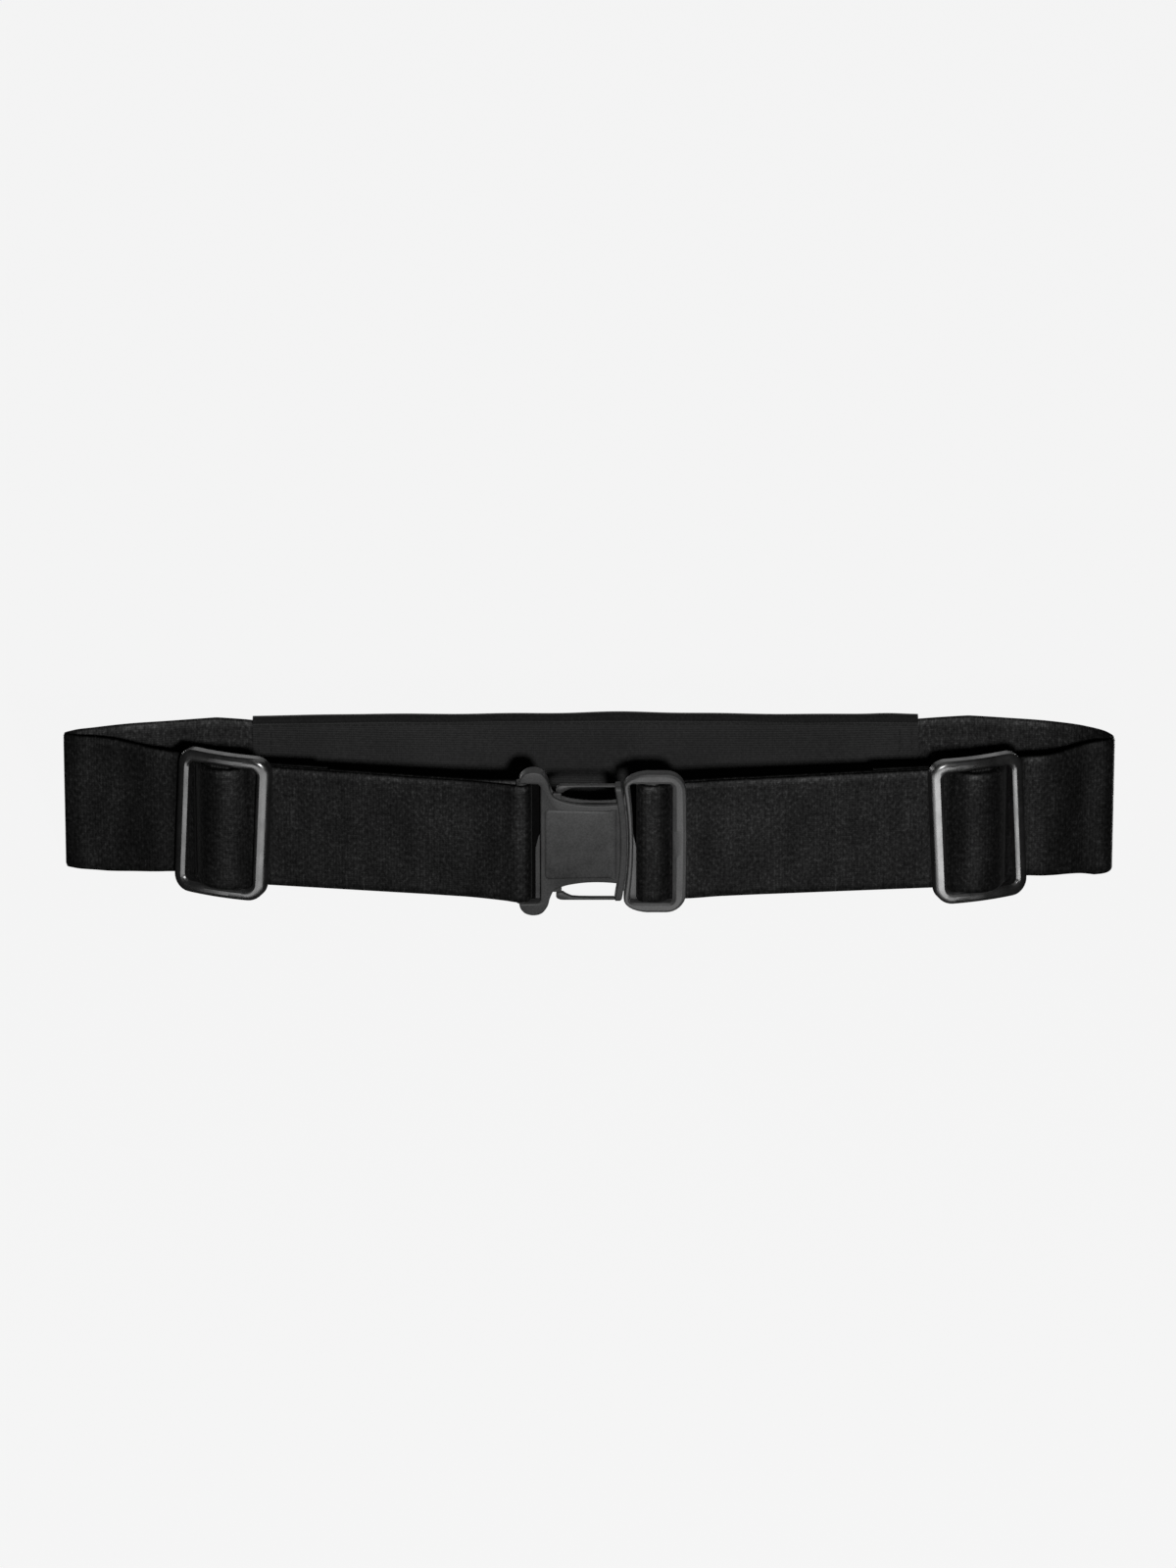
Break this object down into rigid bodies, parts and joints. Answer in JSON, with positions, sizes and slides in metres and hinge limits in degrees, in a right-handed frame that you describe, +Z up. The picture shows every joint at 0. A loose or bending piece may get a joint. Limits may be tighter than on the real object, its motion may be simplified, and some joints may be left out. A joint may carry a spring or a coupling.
{
  "type": "money belt",
  "caption": "Elastic waist belt with a flat zipped pouch, a side-release buckle and a slide adjuster on each strap.",
  "frame": {"origin": "centre of the belt's outline at the level it stands on", "axes": "+X along the belt, towards the buckle's frame; -Y is the buckle side and +Y the pouch side; +Z up"},
  "size_m": [0.343, 0.0704, 0.05],
  "materials": {
    "panel_fabric": "matt, fine weave",
    "binding_tape": "matt",
    "thread": "matt",
    "zip_fabric": "matt",
    "zip_coil": "satin",
    "zip_metal": "satin",
    "webbing": "matt, fine ribs",
    "adjuster_plastic": "satin gloss",
    "buckle_plastic": "satin gloss"
  },
  "bodies": {
    "belt": {"pouch_inner_panel": "panel_fabric", "pouch_upper_panel": "panel_fabric", "pouch_lower_panel": "panel_fabric", "pouch_top_binding": "binding_tape", "pouch_bottom_binding": "binding_tape", "pouch_left_stitching": "thread", "pouch_right_stitching": "thread", "zip_left_tab": "panel_fabric", "zip_right_tab": "panel_fabric", "zip_upper_tape": "zip_fabric", "zip_lower_tape": "zip_fabric", "zip_upper_teeth": "zip_coil", "zip_lower_teeth": "zip_coil", "zip_stops": "zip_metal", "left_side_webbing": "webbing", "left_running_webbing": "webbing", "left_return_webbing": "webbing", "left_buckle_webbing": "webbing", "buckle_socket": "buckle_plastic", "right_back_webbing": "webbing", "right_turn_webbing": "webbing"},
    "left_adjuster": {"left_adjuster": "adjuster_plastic", "left_sewn_loop": "webbing", "left_bartack": "thread"},
    "right_half": {"right_side_webbing": "webbing", "right_running_webbing": "webbing", "right_return_webbing": "webbing", "right_buckle_webbing": "webbing", "buckle_frame": "buckle_plastic", "buckle_prongs": "buckle_plastic"},
    "right_adjuster": {"right_adjuster": "adjuster_plastic", "right_sewn_loop": "webbing", "right_bartack": "thread"},
    "upper_latch": {"upper_latch_arm": "buckle_plastic"},
    "lower_latch": {"lower_latch_arm": "buckle_plastic"},
    "zip_slider": {"zip_slider": "zip_metal"},
    "zip_pull": {"zip_pull": "zip_metal"}
  },
  "joints": [
    {"name": "left_adjust", "type": "slide", "parent": "belt", "child": "left_adjuster", "axis": [0.9858, -0.1681, 0], "range_m": [-0.01, 0.038], "deforming": ["left_running_webbing", "left_return_webbing"]},
    {"name": "buckle_release", "type": "slide", "parent": "belt", "child": "right_half", "axis": [1, 0, 0], "range_m": [0, 0.03], "deforming": ["right_turn_webbing", "buckle_prongs", "upper_latch_arm", "lower_latch_arm"]},
    {"name": "right_adjust", "type": "slide", "parent": "right_half", "child": "right_adjuster", "axis": [-0.993, -0.1182, 0], "range_m": [-0.01, 0.038], "deforming": ["right_running_webbing", "right_return_webbing"]},
    {"name": "upper_latch_press", "type": "hinge", "parent": "right_half", "child": "upper_latch", "pos_m": [-0.0092, -0.0314, 0.0435], "axis": [0, 1, 0], "range_deg": [0, 8.5], "stiffness_Nm_per_rad": 0.02},
    {"name": "lower_latch_press", "type": "hinge", "parent": "right_half", "child": "lower_latch", "pos_m": [-0.0092, -0.0314, 0.0065], "axis": [0, -1, 0], "range_deg": [0, 8.5], "stiffness_Nm_per_rad": 0.02},
    {"name": "zip_travel", "type": "slide", "parent": "belt", "child": "zip_slider", "axis": [-1, 0, 0], "range_m": [0, 0.17]},
    {"name": "zip_pull_swing", "type": "hinge", "parent": "zip_slider", "child": "zip_pull", "pos_m": [0.085, 0.034, 0.03], "axis": [1, 0, 0], "range_deg": [0, 160]}
  ]
}
